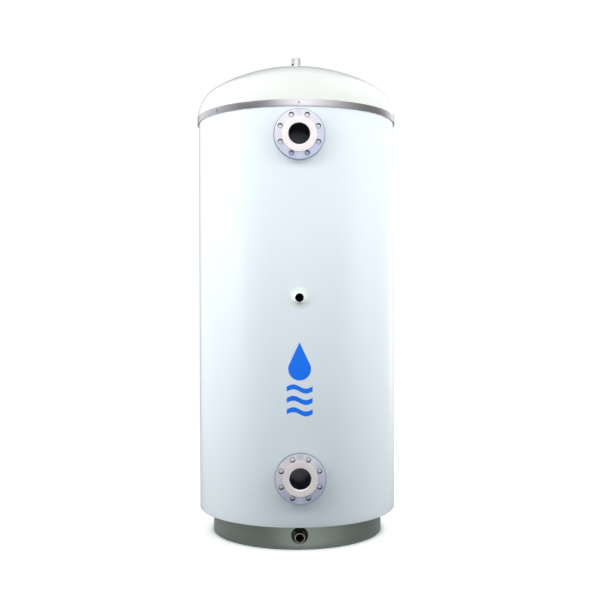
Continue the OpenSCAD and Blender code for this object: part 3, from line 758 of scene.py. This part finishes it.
kept = {
    "base_tray": tray_steel, "jacket_joint_strip": jacket_white, "jacket_joint_rivets": rivet_metal,
    "data_plate": plate_metal, "data_plate_rivets": rivet_metal, "front_mark": mark_film,
    # the foam pad under the tank takes the near-black foam of painted shade
    "insulation_sleeve": foam, "insulation_top": foam, "insulation_base": base_foam,
    "vessel_shell": vessel_steel, "vessel_top_head": vessel_steel, "vessel_bottom_head": vessel_steel,
    "top_pipe": pipe_steel, "upper_nozzle_seal": seal_rubber, "lower_nozzle_seal": seal_rubber,
    "upper_diffuser": vessel_steel, "lower_diffuser": vessel_steel,
    "drain_elbow": pipe_steel, "drain_pipe": pipe_steel,
}
for node, material in kept.items():
    cad[node].data.materials.clear()
    cad[node].data.materials.append(material)

# ---------------------------------------------------------------- floor, light and camera

def make_floor():
    """A white round studio floor for the camera; the tank itself stands over a dark one."""
    pick_nothing()
    bpy.ops.mesh.primitive_circle_add(vertices=96, radius=FLOOR_R, fill_type="NGON")
    floor = bpy.context.active_object
    floor.name = "studio_floor"
    white, shader = finish("floor_white", (0.9, 0.9, 0.9), 0.0, 0.9)
    cloud = grain(white, 0.6)
    tint(white, cloud.outputs["Fac"], [(0.3, (0.93, 0.93, 0.93)), (0.7, (0.95, 0.95, 0.95))],
         shader.inputs["Base Color"])
    shader.inputs["Emission Color"].default_value = (1, 1, 1, 1)
    place = add(white, "ShaderNodeTexCoord")
    away = add(white, "ShaderNodeVectorMath", operation="LENGTH")
    wire(white, place.outputs["Object"], away.inputs[0])
    spread(white, away.outputs["Value"], 0.0, FLOOR_GLOW, shader.inputs["Emission Strength"],
           RING_R, RING_R + 0.02)
    dark = add(white, "ShaderNodeBsdfDiffuse")
    dark.inputs["Color"].default_value = (0.10, 0.11, 0.11, 1)
    path = add(white, "ShaderNodeLightPath")
    choice = add(white, "ShaderNodeMixShader")
    wire(white, path.outputs["Is Camera Ray"], choice.inputs["Fac"])
    wire(white, dark.outputs["BSDF"], choice.inputs[1])
    wire(white, shader.outputs["BSDF"], choice.inputs[2])
    wire(white, choice.outputs["Shader"], white.node_tree.nodes["Material Output"].inputs["Surface"])
    floor.data.materials.append(white)
    floor.visible_glossy = False


FLOOR_R = 3.0
FLOOR_GLOW = 0.42      # lifts the floor to white outside the base ring, for the camera only
make_floor()

# Brightness of the room that polished parts mirror, at directions in degrees round the tank:
# 0 in front, to the right positive.
ROOM_ROUND = [(-90, 0.62), (-58, 0.30), (-29, 0.66), (1, 1.62), (45, 0.76), (93, 0.22), (125, 0.60),
              (151, 1.20), (165, 0.40), (195, 0.14), (207, 0.85), (220, 1.05), (242, 0.92), (269.9, 0.62)]
ROOM_FLOOR = 0.36       # mirrored floor
ROOM_CEILING = 1.25     # mirrored ceiling
ROOM_PEAK = 2.0
ROOM_LIGHT = 0.28       # light that the room adds on every side
BACKDROP = 1.05


def make_world():
    """White backdrop for the camera, even light from the room, and a shaded room in reflections."""
    world = bpy.data.worlds.new("studio")
    bpy.context.scene.world = world
    world.use_nodes = True
    tree = world.node_tree
    backdrop = tree.nodes["Background"]
    backdrop.inputs["Color"].default_value = (1, 1, 1, 1)
    backdrop.inputs["Strength"].default_value = BACKDROP

    room = tree.nodes.new("ShaderNodeBackground")
    room.name = "room"
    room.inputs["Color"].default_value = (0.62, 0.88, 1.0, 1)
    room.inputs["Strength"].default_value = ROOM_LIGHT

    way = tree.nodes.new("ShaderNodeTexCoord")
    around = tree.nodes.new("ShaderNodeTexGradient")
    around.gradient_type = "RADIAL"
    ramp = tree.nodes.new("ShaderNodeValToRGB")
    ramp.color_ramp.interpolation = "CARDINAL"
    stops = sorted(((degrees / 360 + 0.25) % 1, level) for degrees, level in ROOM_ROUND)
    while len(ramp.color_ramp.elements) < len(stops):
        ramp.color_ramp.elements.new(0.5)
    for element, (at, level) in zip(ramp.color_ramp.elements, stops):
        element.position = at
        element.color = (level / ROOM_PEAK,) * 3 + (1,)
    tree.links.new(way.outputs["Generated"], around.inputs["Vector"])
    tree.links.new(around.outputs["Fac"], ramp.inputs["Fac"])

    height = tree.nodes.new("ShaderNodeSeparateXYZ")
    tree.links.new(way.outputs["Generated"], height.inputs["Vector"])
    colour = ramp.outputs["Color"]
    for low, high, level in ((-0.02, -0.30, ROOM_FLOOR), (0.35, 0.85, ROOM_CEILING)):
        reach = tree.nodes.new("ShaderNodeMapRange")
        reach.interpolation_type = "SMOOTHERSTEP"
        reach.inputs["From Min"].default_value = low
        reach.inputs["From Max"].default_value = high
        blend = tree.nodes.new("ShaderNodeMixRGB")
        blend.inputs["Color2"].default_value = (level / ROOM_PEAK,) * 3 + (1,)
        tree.links.new(height.outputs["Z"], reach.inputs["Value"])
        tree.links.new(reach.outputs["Result"], blend.inputs["Fac"])
        tree.links.new(colour, blend.inputs["Color1"])
        colour = blend.outputs["Color"]
    mirrored = tree.nodes.new("ShaderNodeBackground")
    mirrored.name = "mirrored"
    mirrored.inputs["Strength"].default_value = ROOM_PEAK
    tree.links.new(colour, mirrored.inputs["Color"])

    path = tree.nodes.new("ShaderNodeLightPath")
    shader = room.outputs["Background"]
    for ray, seen in (("Is Glossy Ray", mirrored), ("Is Camera Ray", backdrop)):
        choice = tree.nodes.new("ShaderNodeMixShader")
        tree.links.new(path.outputs[ray], choice.inputs["Fac"])
        tree.links.new(shader, choice.inputs[1])
        tree.links.new(seen.outputs["Background"], choice.inputs[2])
        shader = choice.outputs["Shader"]
    tree.links.new(shader, tree.nodes["World Output"].inputs["Surface"])


make_world()


def lamp(name, turn_to, distance, height, aim, size, power, spread_angle=180):
    """A soft box, turn_to degrees round from the front, that lights but isn't mirrored."""
    a = math.radians(turn_to)
    place = Vector((distance * math.sin(a), -distance * math.cos(a), height))
    pick_nothing()
    bpy.ops.object.light_add(type="AREA", location=place)
    light = bpy.context.active_object
    light.name = name
    light.data.shape = "RECTANGLE"
    light.data.size, light.data.size_y = size
    light.data.energy = power
    light.data.spread = math.radians(spread_angle)
    light.rotation_euler = (Vector((0, 0, aim)) - place).to_track_quat("-Z", "Y").to_euler()
    light.visible_glossy = False
    light.visible_camera = False
    return light


# name, turn from the front, distance, height, height aimed at, size, power, spread angle
LAMPS = [
    ("top_box", 180, 0.2, 4.2, 0.0, (4.0, 4.0), 54),
    ("front_box", -6, 3.0, 2.05, 2.2, (2.8, 1.3), 12.0, 125),
    ("left_front_box", -40, 3.2, 2.05, 2.1, (2.6, 1.3), 14.0, 130),
    ("right_front_box", 40, 3.2, 2.05, 2.1, (2.6, 1.3), 13.4, 130),
    ("left_side_box", -75, 3.4, 2.0, 1.5, (2.2, 1.8), 40),
    ("right_side_box", 75, 3.4, 2.0, 1.5, (2.2, 1.8), 35),
    ("left_back_box", -110, 3.4, 2.0, 1.5, (2.2, 1.8), 16),
    ("right_back_box", 110, 3.4, 2.0, 1.5, (2.2, 1.8), 40),
    ("left_low_box", -74, 3.6, 0.9, 0.7, (1.8, 1.4), 31),
    ("right_low_box", 76, 3.6, 0.9, 0.7, (1.8, 1.4), 22),
    ("back_box", 180, 3.6, 1.9, 1.4, (2.4, 1.6), 28),
]
for lamp_values in LAMPS:
    lamp(*lamp_values)

CAMERA_TURN = -1.5          # degrees round from the front
CAMERA_LEAN = 0.18          # degrees
CAMERA_DISTANCE = 3.953
CAMERA_HEIGHT = 1.006
CAMERA_LENS = 53.8
pick_nothing()
a = math.radians(CAMERA_TURN)
bpy.ops.object.camera_add(
    location=(CAMERA_DISTANCE * math.sin(a), -CAMERA_DISTANCE * math.cos(a), CAMERA_HEIGHT),
    rotation=(math.radians(90), math.radians(CAMERA_LEAN), a))
camera = bpy.context.active_object
camera.name = "studio_camera"
camera.data.sensor_width = 36
camera.data.lens = CAMERA_LENS
camera.data.shift_x = 0.0057
camera.data.shift_y = -0.0027
camera.data.dof.use_dof = False
bpy.context.scene.camera = camera
bpy.context.scene.view_settings.view_transform = "Standard"
